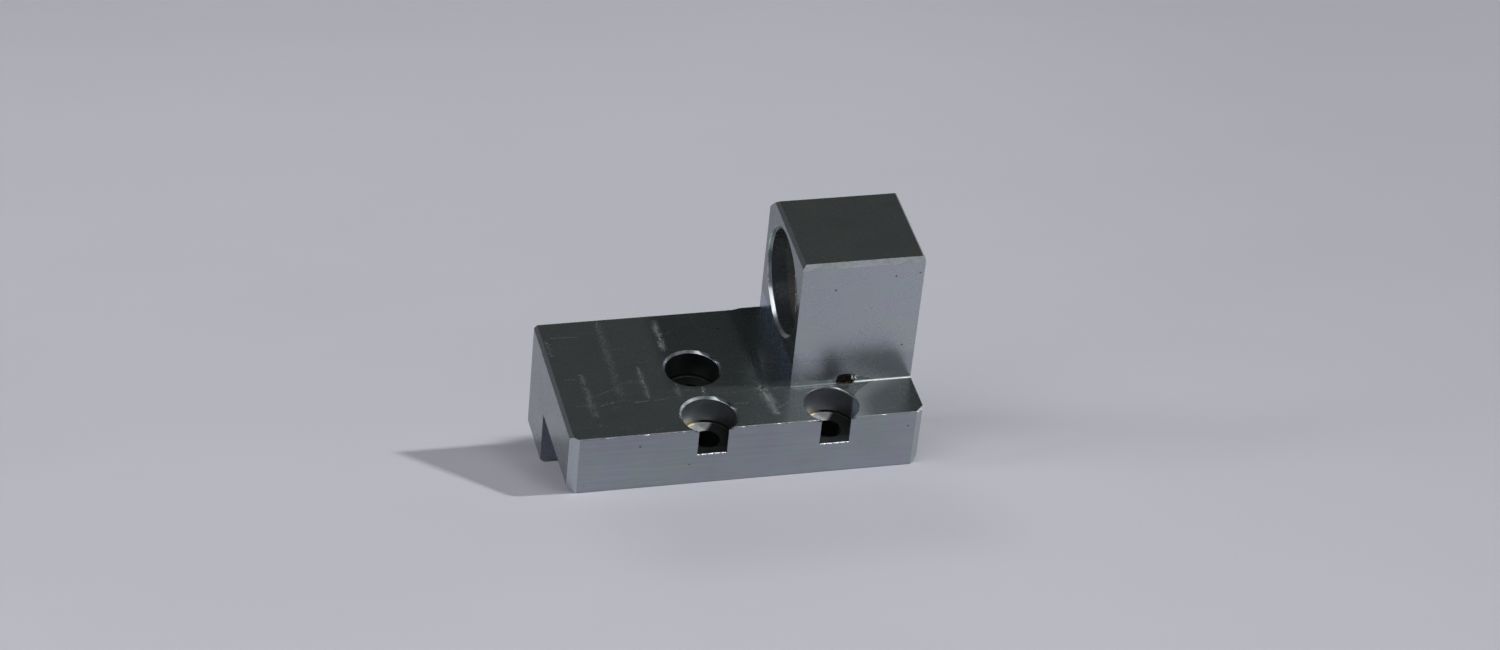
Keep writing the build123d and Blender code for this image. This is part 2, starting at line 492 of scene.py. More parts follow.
class PlatingPattern(Pattern):
    """The nodes of the plating: masks from 0 to 1 for the parts of the block, and the marks on them.

    A sunk hole is called a well here, and its wall, floor, rim and corner are the well's.
    """

    def __init__(self, name):
        super().__init__(name)
        self.cloud, self.hue, self.patch = self.noises(0.15, shift=3)
        self.grain, self.broken, self.fleck = self.noises(1.6, detail=1, shift=5)
        self.brush, self.fine, self.streaky = self.noises((0.05, 1.15, 1.25), detail=3, rough=0.68, shift=9)
        self.clump, self.drift, _ = self.noises((0.42, 0.40, 0.40), detail=3, rough=0.68, shift=15)
        self.find_faces()
        self.find_bore()
        self.find_wells()

    def find_faces(self):
        """The outer faces, by place and by which way the surface looks, and the tower's foot fillet."""
        x, y, z = self.x, self.y, self.z
        self.level = self.nz.rise(0.90, 0.98)
        self.faces_front, self.faces_left = self.ny.rise(-0.90, -0.98), self.nx.rise(-0.90, -0.98)
        is_high = z.rise(sizes.top - 2, sizes.top - 1)
        self.tower_top = self.level * is_high
        self.base_top = self.level.without(is_high) * z.rise(sizes.base_top - 0.2, sizes.base_top - 0.1)
        self.base_front = self.faces_front * y.rise(sizes.front + 1, sizes.front + 0.5)
        self.tower_front = self.faces_front * z.rise(sizes.base_top, sizes.base_top + 0.1)
        self.tower_side = self.faces_left * x.rise(sizes.tower_left - 0.1, sizes.tower_left - 0.05)
        self.left_end = self.faces_left * x.rise(sizes.left + 1, sizes.left + 0.5)
        foot = z.between(sizes.base_top - 0.02, sizes.base_top + 0.34, 0.02).without(self.faces_front)
        foot = foot * y.between(sizes.tower_front - 0.34, sizes.tower_front + 0.2, 0.03)
        self.foot = foot * x.rise(sizes.tower_left - 0.05, sizes.tower_left + 0.05)

    def find_bore(self):
        """The bore's wall and the chamfer round its left mouth, and how far a point is from its axis."""
        self.bore_y, self.bore_z = self.y - sizes.bore_centre[1], self.z - sizes.bore_centre[2]
        self.from_bore = vector_length(self.bore_y, self.bore_z)
        self.in_bore = self.from_bore.rise(sizes.bore_radius + 0.12, sizes.bore_radius + 0.03)
        ring = self.from_bore.between(sizes.bore_radius + 0.08, sizes.bore_radius + 0.72, 0.04)
        self.bore_rim = ring * self.nx.rise(-0.55, -0.65) * self.nx.rise(-0.85, -0.75)

    def find_wells(self):
        """The wells' walls, floors, corners and rims, and how far a point is from the middle of its well."""
        offsets = [(self.x - float(screw[0]), self.y - float(screw[1])) for screw in sizes.screws]
        distances = [vector_length(*offset) for offset in offsets]
        near = [distance.math("LESS_THAN", sizes.head_radius + 0.8) for distance in distances]
        self.from_screw = functools.reduce(Field.smaller, distances)
        self.well_x, self.well_y = (
            functools.reduce(Field.__add__, [side * mask for side, mask in zip(sides, near)])
            for sides in zip(*offsets)
        )
        in_well = self.from_screw.rise(sizes.head_radius + 0.03, sizes.head_radius + 0.01)
        self.in_well = in_well * self.z.between(sizes.head_floor - 0.1, sizes.base_top - 0.5, 0.08)
        self.well_floor = self.in_well * self.level
        self.well_side = self.in_well.without(self.level)
        self.front_side = self.well_side * self.y.rise(BETWEEN_HOLES + 0.5, BETWEEN_HOLES - 0.5)
        # The corner round each floor, apart from the left of the front ones, which gets painted shade
        corner = self.well_side * self.z.rise(sizes.head_floor + 0.62, sizes.head_floor + 0.42)
        is_rear = self.y.rise(BETWEEN_HOLES - 0.5, BETWEEN_HOLES + 0.5)
        self.well_corner = corner * self.well_x.rise(-1.5, 0.3).larger(is_rear)
        rim = self.from_screw.between(sizes.head_radius + 0.02, sizes.head_radius + 0.5, 0.04)
        self.rim = (rim * self.z.rise(sizes.base_top - 0.5, sizes.base_top - 0.44)).without(self.level)
        # The arc of each rim that gets a painted shadow, to the right and a little to the back
        shadowed = self.well_x * 0.78 + self.well_y * 0.62
        self.rim_gap = shadowed.rise(sizes.head_radius * 0.93, sizes.head_radius * 0.99)
        # The painted pool of light on each front well's floor, to the left and a little to the back
        painted_lit_crescent = self.well_floor * (self.well_y * 0.54 - self.well_x * 0.84).rise(0.5, 1.5)
        self.painted_lit_crescent = painted_lit_crescent * self.y.rise(6.5, 5.8)

    def clouded(self, plate):
        """The plating's colour, with clouds of greener and bluer grey, and of a browner one on the tops."""
        bluish = (self.hue + self.cloud * 0.4 - self.level * 0.5).rise(-0.5, 0.5)
        colour = self.mix(bluish, tinted(plate, 0.95, 1.03, 0.98), tinted(plate, 1.01, 0.97, 1.07))
        brownish = (self.tower_top + self.base_top * 0.5) * (self.drift - self.hue * 0.6).rise(-0.3, 0.6)
        return self.mix(brownish * 0.7, colour, tinted(plate, 1.10, 0.98, 0.90))

    def painted_shade(self):
        """How far each part is darkened by painted shade and darker painted reflections, from 0 to 1, with
        random tone from the noises.
        """
        x, y, z, well_x = self.x, self.y, self.z, self.well_x
        # Painted shade on the base's top: the tower's painted shadow left of it, behind the front holes, and
        # a darker painted reflection right of X 16
        beside_tower = (x.rise(16.0, 24.0) * 0.25).larger(x.rise(-2.0, 0.5) * y.rise(7.5, 9.5) * 0.35)
        front_wells = well_x.rise(-2.0, 5.0, 0.54, 0.90).larger(well_x.rise(-3.0, -5.2) * 0.66)
        rear_well = self.well_side.without(self.front_side)
        shank = self.from_screw.rise(sizes.shank_radius + 0.06, sizes.shank_radius + 0.02)
        shank = shank * z.rise(sizes.head_floor - 0.02, sizes.head_floor - 0.06)
        # Painted shade: the base's front, the tower's front low down, the left faces and the tower's left
        # side are darkened for the darker things they mirror, and the bore, the wells and the shank holes for
        # the shade in them
        painted_shade = largest(
            self.base_top * beside_tower,
            self.base_front * x.rise(-20.0, 28.0, 0.21, 0.16),
            self.tower_front * z.rise(21.0, 19.5) * 0.14,
            self.faces_left * 0.43,
            self.tower_side * z.between(MIRRORED_TO, 22.0, 0.4) * 0.48,
            self.tower_side * z.rise(22.0, 24.0) * 0.53,
            self.in_bore * 0.40,
            self.front_side * front_wells,
            rear_well * well_x.rise(-4.0, 3.0, 0.55, 0.88),
            shank * 0.88,
        )
        return (painted_shade + self.brush * (self.base_front * 0.10 + 0.04) + self.cloud * 0.05).larger(0.0)

    def rubbed_edges(self):
        """Edges look along no axis, and those that look forward are rubbed most."""
        slant = largest(self.nx.size(), self.ny.size(), self.nz.size()).rise(0.93, 0.86)
        in_hole = self.in_bore.larger(self.from_screw.rise(sizes.head_radius + 0.6, sizes.head_radius + 0.5))
        slant = slant.without(in_hole) * self.from_bore.rise(sizes.bore_radius + 0.5, sizes.bore_radius + 0.9)
        return slant * (self.ny.rise(-0.3, -0.6) * 0.16 + 0.06) * (self.broken.rise(-0.5, 0.4) * 0.6 + 0.4)

    def painted_bore_highlight(self):
        """A painted highlight: the bright arc low at the back of the bore's rim."""
        arc = self.bore_y.rise(2.0, 4.6) * self.bore_z.between(-10.3, -7.6, 0.3) * self.bore_rim
        outward = self.from_bore.rise(sizes.bore_radius, sizes.bore_radius + 0.5)
        return arc * (self.fleck + self.broken + outward).rise(-0.4, 0.0)

    def sweep(self):
        """The sweep of the cutter before the tower: an arc with feed lines, fading to the right."""
        out = vector_length(self.x - SWEEP_MIDDLE[0], self.y - SWEEP_MIDDLE[1])
        feed = (out * 19.0 + self.grain * 1.6 + self.fine).sine() * 0.16 + self.fine * 0.6 + 0.75
        arc = out.rise(5.5, 10.0) * out.rise(10.4, 10.1) * self.x.rise(31.5, 22.0)
        return arc * feed * self.base_top * 0.40

    def foot_lines(self):
        """The bright line along the tower's foot, and the rubbed strip before it, left of the hollow."""
        line = self.y.between(sizes.tower_front - 0.35, sizes.tower_front, 0.1)
        line = line * self.z.between(sizes.base_top, sizes.base_top + 0.3, 0.06)
        line = line * (self.x.rise(18.5, 20.5) * 0.4 + self.broken.rise(-0.2, 0.6) * 0.4)
        strip = self.y.between(sizes.tower_front - 1.0, sizes.tower_front - 0.1, 0.2)
        strip = strip * self.x.between(6.2, 15.5, 0.6) * (self.streaky + self.broken).rise(-0.4, 0.8)
        return line.larger(strip * self.base_top * 0.6)

    def streaks(self):
        """Faint rubbing all over the top of the base, and the rubbed streaks with their bright sparks."""
        streaks = (self.streaky + self.drift * 0.8).rise(0.2, 1.2) * 0.22
        uneven = (self.clump + self.fleck * 0.5).rise(-0.35, 0.75) * 0.8
        broken = uneven.larger(self.specks(2.4, 0.16, 0.42, shift=21) * 1.5)
        for middle, lean, first, last, half_width, strength in RUBBED_STREAKS:
            aside = (self.x + self.clump * 0.5 - self.y * lean - middle).size()
            glow = aside.rise(half_width, 0.0) * self.y.between(first, last, 2.2) * strength
            streaks = streaks.larger(glow * broken)
        return streaks * self.base_top

    def painted_dark_rims(self):
        """Painted shade on parts of the wells' rims, of the bore's rim and of the tower's foot, which dims
        the reflections and highlights on them.
        """
        # Painted shade on the front and the right of each rim, and on the right front well's rim
        to_front, to_right = self.well_y.rise(-1.0, -3.0) * 0.94, self.well_x.rise(-0.5, 2.0) * 0.6
        dull = largest(to_front, to_right, self.x.rise(6.0, 8.0) * 0.45)
        arc = self.bore_rim * self.bore_y.rise(-1.0, 2.5) * self.bore_z.rise(-7.4, -6.4)
        ragged_edge = self.from_bore + self.broken * 0.25
        arc = arc * ragged_edge.rise(sizes.bore_radius + 0.62, sizes.bore_radius + 0.32)
        foot = self.foot * self.x.rise(HOLLOW_X + 1.5, HOLLOW_X + 0.5) * (self.broken * 0.15 + 0.75)
        return largest(self.rim.without(self.rim_gap) * dull, arc * 0.8, foot)

    def pits(self):
        """Pits scattered over the faces, and the larger dark specks."""
        scattered = self.specks(0.5, 0.15, 0.10, shift=7)
        scattered = scattered * (self.base_front + self.tower_front + self.left_end + self.base_top * 0.8)
        specks = [self.distance(middle).rise(radius, radius * 0.35) for middle, radius in DARK_SPECKS]
        return largest(scattered, *specks)

    def salts(self):
        """Thin salts along the back wall of the bore, and a few grains low on the tower's front."""
        wall = self.in_bore * self.x.between(sizes.tower_left + 3.9, sizes.tower_left + 9.0, 0.5)
        wall = wall * self.bore_z.rise(4.5, 2.0) * (self.patch + self.broken * 0.5).rise(-0.8, 0.5)
        low_left = self.z.rise(16.2, 13.9) * self.x.rise(21.0, 15.0)
        grains = self.tower_front * low_left * self.fleck.rise(0.25, 0.6)
        return (wall * 0.6).larger(grains * 0.55)

    def ochre(self):
        """The thicker salts low at the left of the front wells."""
        low = (self.z + self.broken * 0.25).rise(sizes.head_floor + 1.7, sizes.head_floor + 0.5)
        return low * self.front_side * self.well_x.rise(-0.3, -2.6) * 0.85

    def stain(self):
        """The stain round the hollow: an ellipsoid with a ragged edge."""
        across, deep = (self.x - HOLLOW_X - 0.05) / 1.95, (self.y - sizes.tower_front) / 1.3
        high = (self.z - sizes.base_top - 0.75) / 1.5
        return (vector_length(across, deep, high) + self.broken * 0.35).rise(1.12, 0.92)


def zinc_plating(settings):
    """Bright zinc over milled steel, with painted shade, painted reflections and painted highlights mixed
    into its colour.

    The plating is a metal with clouds of a greener and a bluer grey and a fine grain brushed along X. Rubbed
    edges and cutter marks are brighter and rougher, pits are dark, and the stain round the hollow and the
    salts low in the sunk holes and in the bore are less metallic.
    """
    pattern = PlatingPattern("zinc_plating")
    mix, x, y, z, worn = pattern.mix, pattern.x, pattern.y, pattern.z, settings.worn_colour
    broken, front_side, well_corner = pattern.broken, pattern.front_side, pattern.well_corner

    # Plating with painted shade; the tower's front painted lighter, a painted reflection of what the tower's
    # left side mirrors, and painted shade on the lip under the base
    colour = mix(pattern.painted_shade(), pattern.clouded(settings.plate_colour), DEEP_SHADE)
    # Painted light: the tower's front is mixed lighter with the worn colour
    colour = mix(pattern.tower_front * 0.11, colour, worn)
    colour = mix(pattern.tower_side * z.rise(MIRRORED_TO + 0.3, MIRRORED_TO - 0.3) * 0.9, colour, PAINTED_BLUE_REFLECTION)
    colour = mix(pattern.faces_front * z.rise(0.1, -0.1) * 0.65, colour, UNDER_BASE_SHADE)

    # Painted shade on the floors of the wells, and all that is bright: rubbed wear, lines and cutter marks, a
    # painted highlight on the bore's rim and a painted pool of light on each front well's floor
    swept, streaks = pattern.sweep(), pattern.streaks()
    painted_lit_crescent = pattern.painted_lit_crescent * (broken.rise(-0.9, 0.3) * 0.3 + 0.6)
    worn_edges_and_highlight, lines = pattern.rubbed_edges().larger(pattern.painted_bore_highlight()), pattern.foot_lines()
    bright = largest(worn_edges_and_highlight, lines, swept, streaks, painted_lit_crescent)
    floor_shade = mix(y.rise(sizes.front + 2.4, sizes.front + 1.6), WELL_FLOOR_SHADE_BACK, WELL_FLOOR_SHADE_FRONT)
    colour = mix(pattern.well_floor.without(pattern.painted_lit_crescent) * 0.93, colour, floor_shade)
    colour = mix(bright, colour, worn)

    # Rims of the wells: a painted highlight at the left and the far right, a painted shadow near black in the
    # shadowed arc, and painted shade elsewhere
    glint = pattern.well_x.rise(1.0, -1.5).larger(pattern.well_x.rise(4.3, 5.0)).without(pattern.rim_gap)
    glint = pattern.rim * glint * x.rise(8.0, 6.0, 0.12, 0.6) * (broken.rise(-0.6, 0.4) * 0.4 + 0.6)
    colour = mix(glint, colour, worn)
    colour = mix(pattern.rim * pattern.rim_gap * 0.97, colour, RIM_GAP_SHADE)
    colour = mix(pattern.painted_dark_rims(), colour, PAINTED_DARK_RIM)
    colour = mix(pattern.pits() * 0.8, colour, PIT_SHADE)

    # Salts, the mottled spot in the bore, the stain and painted shade in the corners of the wells
    salts, ochre, stain = pattern.salts(), pattern.ochre(), pattern.stain()
    mottle = pattern.in_bore * pattern.distance((sizes.tower_left + 2.1, 27.1, 22.2)).rise(2.4, 0.6)
    colour = mix(salts, colour, settings.salt_colour)
    colour = mix(ochre, colour, tinted(settings.salt_colour, 1.8))
    colour = mix(mottle * pattern.fleck.rise(-0.2, 0.5) * 0.5, colour, worn)
    colour = mix(stain * 0.95, colour, settings.rust_colour)
    # Painted shade in the corners of the wells
    colour = mix(well_corner * 0.97, colour, CORNER_SHADE)

    # Metal, gloss and grain
    dull = (stain * 0.8).larger(salts.larger(ochre) * 0.5)
    not_metal = largest(dull, front_side.without(well_corner) * 0.11, streaks * 0.17, swept * 0.06)
    rough = (
        pattern.cloud * 0.03 + pattern.brush * 0.015 + pattern.grain * 0.01 + bright * 0.26
        + pattern.base_front * 0.05 + pattern.in_well * 0.06 + settings.plate_roughness
    )
    foot_rough = pattern.foot * (pattern.streaky * 0.1 + 0.6)
    rough = largest(rough, dull * 0.8, foot_rough, well_corner * 0.7, front_side * 0.46)
    brushed = pattern.base_front * 1.8 + pattern.tower_front * 0.12
    brushed = brushed + pattern.tower_top * 1.7 + pattern.base_top * 0.8
    grained = pattern.brush * brushed + pattern.grain * 0.1
    height = grained * (settings.grain_height / MM) + bright * pattern.grain * 0.006
    return pattern.join(colour=colour, metal=not_metal * -1.0 + 0.95, rough=rough, height=height)


def bare_zinc(settings):
    """Zinc rubbed or torn bright, as on a burr: pale metal, uneven in gloss, with a fine torn grain."""
    pattern = Pattern("bare_zinc")
    grain, tint, patch = pattern.noises(3.2, shift=2)
    pale = settings.worn_colour
    colour = pattern.mix(tint.rise(-0.6, 0.6), tinted(pale, 0.8), pale)
    return pattern.join(colour=colour, metal=0.92, rough=patch * 0.08 + 0.36, height=grain * 0.012)


def scuffed_zinc(settings):
    """Zinc scuffed by a passing cutter: a little paler than the plating, and rough enough to catch light."""
    pattern = Pattern("scuffed_zinc")
    grain, tint, patch = pattern.noises(2.6, shift=6)
    plate, pale = settings.plate_colour, settings.worn_colour
    between = tuple(0.75 * first + 0.25 * second for first, second in zip(plate, pale))
    colour = pattern.mix(tint.rise(-0.6, 0.6), plate, between)
    return pattern.join(colour=colour, metal=0.92, rough=patch * 0.08 + 0.40, height=grain * 0.004)


def rust_crust(settings):
    """Dark rust: nearly black brown with paler ochre grains and a coarse, dull surface."""
    pattern = Pattern("rust_crust")
    grain, tint, patch = pattern.noises(2.8, detail=3, rough=0.7, shift=8)
    ochre = tinted(settings.rust_colour, 4.2, 3.6, 2.4)
    colour = pattern.mix((tint + grain * 0.5).rise(0.25, 0.8), settings.rust_colour, ochre)
    pattern.surface.inputs["Specular IOR Level"].default_value = 0.12
    return pattern.join(colour=colour, metal=0.0, rough=patch * 0.10 + 0.80, height=grain * 0.08)


def dried_salts(settings):
    """Salts dried in a corner: an ochre crust with paler grains, half glossy."""
    pattern = Pattern("dried_salts")
    grain, tint, patch = pattern.noises(2.2, detail=3, rough=0.65, shift=12)
    pale = tinted(settings.salt_colour, 1.7, 1.75, 2.0)
    colour = pattern.mix(tint.rise(0.0, 0.7), settings.salt_colour, pale)
    return pattern.join(colour=colour, metal=0.1, rough=patch * 0.10 + 0.62, height=grain * 0.05)


class BLOCK_OT_plating(bpy.types.Operator):
    """Gives the block its bright zinc plating, with its grain, wear and stains, and its painted shade and
    highlights
    """

    bl_idname = "block.plating"
    bl_label = "Zinc Plating"

    def execute(self, context):
        mesh = frame["nodes"][NODE].data
        mesh.materials.clear()
        mesh.materials.append(zinc_plating(context.scene.block_finish))
        return {"FINISHED"}


# ---------------------------------------------------------------------------------------------------
# Marks, burrs and crusts
# ---------------------------------------------------------------------------------------------------

# Chatter left between two passes of the cutter over the base: where each streak starts and ends (X, Y),
# its width, how many marks it has, their length, how strong they are and how far they are turned
CHATTER_STREAKS = (
    ((-35.0, 13.4), (-35.2, 15.8), 0.7, 15, 0.80, 0.8, 18),
    ((-35.0, 6.2), (-35.0, 11.6), 0.7, 26, 0.85, 0.7, 18),
    ((-35.0, 2.0), (-34.8, 3.6), 0.9, 9, 0.90, 0.7, 24),
    ((-34.9, -1.4), (-34.5, 0.0), 0.9, 4, 0.80, 0.5, 26),
    ((-28.4, 6.4), (-28.6, 32.2), 1.6, 120, 0.40, 0.4, 8),
    ((-28.6, 30.6), (-28.6, 32.4), 0.8, 14, 0.50, 0.8, 6),
    ((-23.4, 14.6), (-23.2, 16.8), 0.9, 15, 0.85, 0.8, 30),
    ((-23.3, 6.4), (-23.2, 13.4), 0.6, 39, 0.65, 0.7, 16),
    ((-16.9, 21.4), (-16.8, 31.4), 1.1, 120, 0.60, 0.8, 6),
    ((-16.8, 23.2), (-16.8, 28.4), 0.5, 75, 0.60, 1.0, 4),
    ((-17.0, 6.6), (-16.8, 10.4), 0.8, 27, 0.55, 0.6, 14),
    ((-11.9, 7.0), (-11.9, 8.7), 0.6, 21, 0.55, 0.9, 10),
    ((-0.9, 9.2), (0.2, 4.0), 0.8, 18, 1.30, 1.2, 22),
    ((0.4, 5.4), (1.2, -1.6), 0.6, 22, 1.90, 1.4, 22),
    ((-39.9, 22.2), (-39.9, 27.4), 0.8, 30, 0.65, 0.6, 12),
    ((-15.4, 26.6), (-13.4, 28.2), 0.4, 10, 0.60, 0.6, 34),
    ((-24.2, -3.4), (-22.4, -2.8), 0.3, 6, 0.70, 0.5, 18),
)
# Scratches: start and end (X, Y) and width
SCRATCHES = (
    ((-6.5, 2.8), (-3.9, 2.7), 0.11),
    ((-38.9, 28.3), (-33.4, 28.0), 0.08),
    ((-38.4, 5.9), (-34.0, 5.8), 0.07),
    ((-33.4, 5.4), (-30.4, 6.2), 0.12),
    ((-26.2, 5.7), (-23.4, 5.9), 0.12),
    ((-22.4, 5.8), (-19.0, 6.0), 0.07),
    ((-33.0, 9.0), (-29.6, 10.4), 0.06),
    ((-38.8, 14.4), (-36.5, 14.6), 0.06),
    ((2.2, 0.6), (4.0, 1.8), 0.07),
)


def lay_on_base(places):
    """Drops places (X, Y) on the top of the base from just above it; gives points in millimetres."""
    tree = BVHTree.FromObject(frame["nodes"][NODE], bpy.context.evaluated_depsgraph_get())
    start, down = sizes.base_top + 2.0, Vector((0, 0, -1))
    heights = [tree.ray_cast(Vector((x, y, start)) * MM, down)[0].z / MM for x, y in places.tolist()]
    return np.column_stack([places, heights])


def streak_marks(random, start, end, width, count, length, strength, turn):
    """Marks strewn along a streak: their places, turns, lengths, widths and heights."""
    start, end = np.array(start), np.array(end)
    share = (np.arange(count) + random.uniform(0.2, 0.8, count)) / count
    astray = random.normal(0, width / 4, (count, 2)) * (1, 0.25)
    return (
        start + (end - start) * share[:, None] + astray,
        np.radians(turn + random.normal(0, 5, count)),
        length * random.uniform(0.5, 1.2, count),
        random.uniform(0.04, 0.12, count) * (0.4 + 0.7 * strength),
        strength * random.uniform(0.005, 0.014, count),
    )


def scratch_marks(random, start, end, width):
    """Marks laid end to end along a scratch, about 0.8 mm apart, in the form that streak_marks gives."""
    start, run = np.array(start), np.array(end) - np.array(start)
    count = max(3, int(np.hypot(*run) / 0.8))
    share = (np.arange(count) + 0.5) / count
    return (
        start + run * share[:, None] + random.normal(0, 0.03, (count, 2)),
        math.atan2(run[1], run[0]) + random.normal(0, 0.05, count),
        np.hypot(*run) / count * random.uniform(0.8, 1.6, count),
        width * random.uniform(1.2, 2.2, count),
        random.uniform(0.003, 0.006, count),
    )


class BLOCK_OT_chatter(bpy.types.Operator):
    """Lays the cutter's chatter marks and the scratches on the top of the base"""

    bl_idname = "block.chatter"
    bl_label = "Chatter Marks"

    def execute(self, context):
        random = np.random.default_rng(14)
        marks = [streak_marks(random, *streak) for streak in CHATTER_STREAKS]
        marks += [scratch_marks(random, *scratch) for scratch in SCRATCHES]
        places, turns, lengths, widths, heights = (np.concatenate(values) for values in zip(*marks))
        flat = np.zeros_like(turns)
        along = np.column_stack([np.cos(turns), np.sin(turns), flat])
        across = np.column_stack([-np.sin(turns), np.cos(turns), flat])
        up = np.column_stack([flat, flat, flat + 1])
        points = mark_points(lay_on_base(places), along, across, up, lengths, widths, heights)
        fitted(surface_object("chatter_marks", points, scuffed_zinc(context.scene.block_finish)))
        return {"FINISHED"}


def front_edge_burr(tallest):
    """Along the top front edge, between the notches, the burr stands where a ragged line is above nought."""
    left_screw, right_screw = sizes.screws[0][0], sizes.screws[1][0]
    clear = sizes.notch_half + 0.5
    runs = []
    for first, last in (
        (sizes.left + 2.0, left_screw - clear), (left_screw + clear, right_screw - clear),
        (right_screw + clear, sizes.right - 1.8),
    ):
        x = np.linspace(first, last, 320)
        flat = np.ones_like(x)
        path = np.column_stack([x, flat * (sizes.front + 0.07), flat * (sizes.base_top - 0.07)])
        height = 0.20 * tallest * np.clip(ragged(x, 3, 7.0) + 0.05, -0.05, None)
        height += 0.30 * tallest * np.clip(ragged(x, 4, 1.1) - 0.28, 0, None) * (x > sizes.left + 12)
        out, up = (np.broadcast_to(v, path.shape) for v in (FORWARD, (UPWARD - FORWARD * 0.4) / 1.08))
        runs.append(burr_points(path, out, up, 0.09, height, 0.2))
    return np.stack(runs)


def notch_burr(screw, seed, tallest):
    """A notch's lower edge has a jagged lip, pushed out and down by the cutter."""
    x = np.linspace(screw[0] - sizes.notch_half - 0.1, screw[0] + sizes.notch_half + 0.05, 150)
    flat = np.ones_like(x)
    path = np.column_stack([x, flat * (sizes.front + 0.06), flat * (sizes.head_floor - 0.06)])
    height = tallest * (0.45 + 0.75 * ragged(x, seed, 1.3, 5, 0.85))
    out = np.broadcast_to(-UPWARD, path.shape)
    up = np.broadcast_to((FORWARD + UPWARD * 0.35) / 1.06, path.shape)
    return burr_points(path, out, up, 0.13, np.clip(height, 0.03, None), 0.25)


def corner_burr(tallest):
    """Two ridges left by the file along the top of the right front corner."""
    start = np.array((sizes.right - 1.7, sizes.front, sizes.base_top))
    end = np.array((sizes.right, sizes.front + 1.7, sizes.base_top))
    share = np.linspace(-0.02, 1.02, 70)[:, None]
    away = np.array((1.0, -1.0, 0.0)) / math.sqrt(2)
    ridges = []
    for inset, drop, rise, seed in ((0.02, -0.02, 0.45, 21), (-0.02, -0.52, 0.38, 22)):
        path = start + (end - start) * share - away * inset + UPWARD * drop
        height = tallest * rise * (0.75 + 0.5 * ragged(share[:, 0] * 2.4, seed, 1.0))
        out, up = (np.broadcast_to(v, path.shape) for v in (-UPWARD, (away + UPWARD * 0.5) / 1.12))
        ridges.append(burr_points(path, out, up, 0.15, height))
    return np.stack(ridges)


def bore_rim_burr(tallest):
    """Inside the front of the bore's rim a torn burr leans into the bore."""
    angle = np.radians(np.linspace(136, 176, 160))
    outward = np.column_stack([np.zeros_like(angle), np.cos(angle), np.sin(angle)])
    centre = np.array((sizes.tower_left, *sizes.bore_centre[1:]))
    path = centre + outward * (sizes.bore_radius + 0.60) + np.array((0.02, 0, 0))
    height = 1.9 * tallest * np.clip(0.35 + ragged(np.degrees(angle), 31, 14.0, 5, 0.85), 0.02, None)
    out = np.broadcast_to(np.array((1.0, 0, 0)), path.shape)
    return burr_points(path, out, -outward, 0.12, height, -0.15)


class BLOCK_OT_burrs(bpy.types.Operator):
    """Raises the torn burrs on the front edge, the two notches, the right corner and the bore's rim"""

    bl_idname = "block.burrs"
    bl_label = "Burrs"

    def execute(self, context):
        settings = context.scene.block_finish
        tallest, material = settings.burr_height / MM, bare_zinc(settings)
        for name, points in (
            ("front_edge_burr", front_edge_burr(tallest)),
            ("left_notch_burr", notch_burr(sizes.screws[0], 11, tallest)),
            ("right_notch_burr", notch_burr(sizes.screws[1], 12, tallest)),
            ("corner_burr", corner_burr(tallest)),
            ("bore_rim_burr", bore_rim_burr(tallest)),
        ):
            fitted(surface_object(name, points, material))
        return {"FINISHED"}


def hollow_lumps(random):
    """Lumps of crust scattered through the hollow, sunk in its walls."""
    count = 240
    spread = random.uniform(-1, 1, (count, 3))
    lumps = np.column_stack([
        HOLLOW_X + 1.85 * spread[:, 0],
        sizes.tower_front + 0.36 + 0.30 * spread[:, 1],
        sizes.base_top + 0.82 + 1.12 * spread[:, 2] * (1 - 0.35 * spread[:, 0] ** 2),
    ])
    radii = random.uniform(0.08, 0.27, count)
    lumps[:, 1] = np.maximum(lumps[:, 1], sizes.tower_front + 0.85 * radii)
    return lump_points(lumps, radii, 5)


def hollow_flakes(random):
    """Bright flakes of plating about the hollow's right end."""
    count = 26
    flakes = np.column_stack([
        random.normal(HOLLOW_X + 1.6, 0.35, count),
        sizes.tower_front - random.uniform(0.02, 0.28, count),
        sizes.base_top + random.normal(1.05, 0.35, count),
    ])
    turns = random.uniform(-1.4, 1.4, count)
    along = np.column_stack([np.cos(turns), np.zeros_like(turns), np.sin(turns)])
    up = np.broadcast_to(np.array((-0.3, -0.9, 0.32)), along.shape)
    spans = random.uniform(0.10, 0.32, count)
    return mark_points(flakes, along, np.cross(up, along), up, spans, spans * 0.6, spans * 0.45)


def well_salts(screw, seed, open_half, raised):
    """A fillet round the foot of a sunk hole, thick at its left and thin elsewhere, 180 points by 8 inwards.

    It leaves out open_half degrees on each side of straight forward. Inwards t runs from 0 to 1: the radius
    shrinks with t to the power 1.6, and the height falls with 1 - t to the power 2.2.
    """
    degrees = np.linspace(-90 + open_half, 270 - open_half, 180)
    angle = np.radians(degrees)
    leftness = 0.5 - 0.5 * np.cos(angle)
    high = -0.06 + 0.66 * leftness**4 * (0.7 + 0.7 * ragged(degrees, seed, 70.0, 6, 0.8)) + raised
    wide = 0.15 + 0.70 * leftness**4 * (0.7 + 0.6 * ragged(degrees, seed + 9, 60.0, 6, 0.8))
    t = np.linspace(0, 1, 8)
    radius = sizes.head_radius + 0.04 - (wide[:, None] + 0.04) * t**1.6
    rise = sizes.head_floor - 0.02 + high[:, None] * (1 - t) ** 2.2
    cosine, sine = np.cos(angle)[:, None], np.sin(angle)[:, None]
    return np.stack([screw[0] + radius * cosine, screw[1] + radius * sine, rise], axis=-1)[::-1]


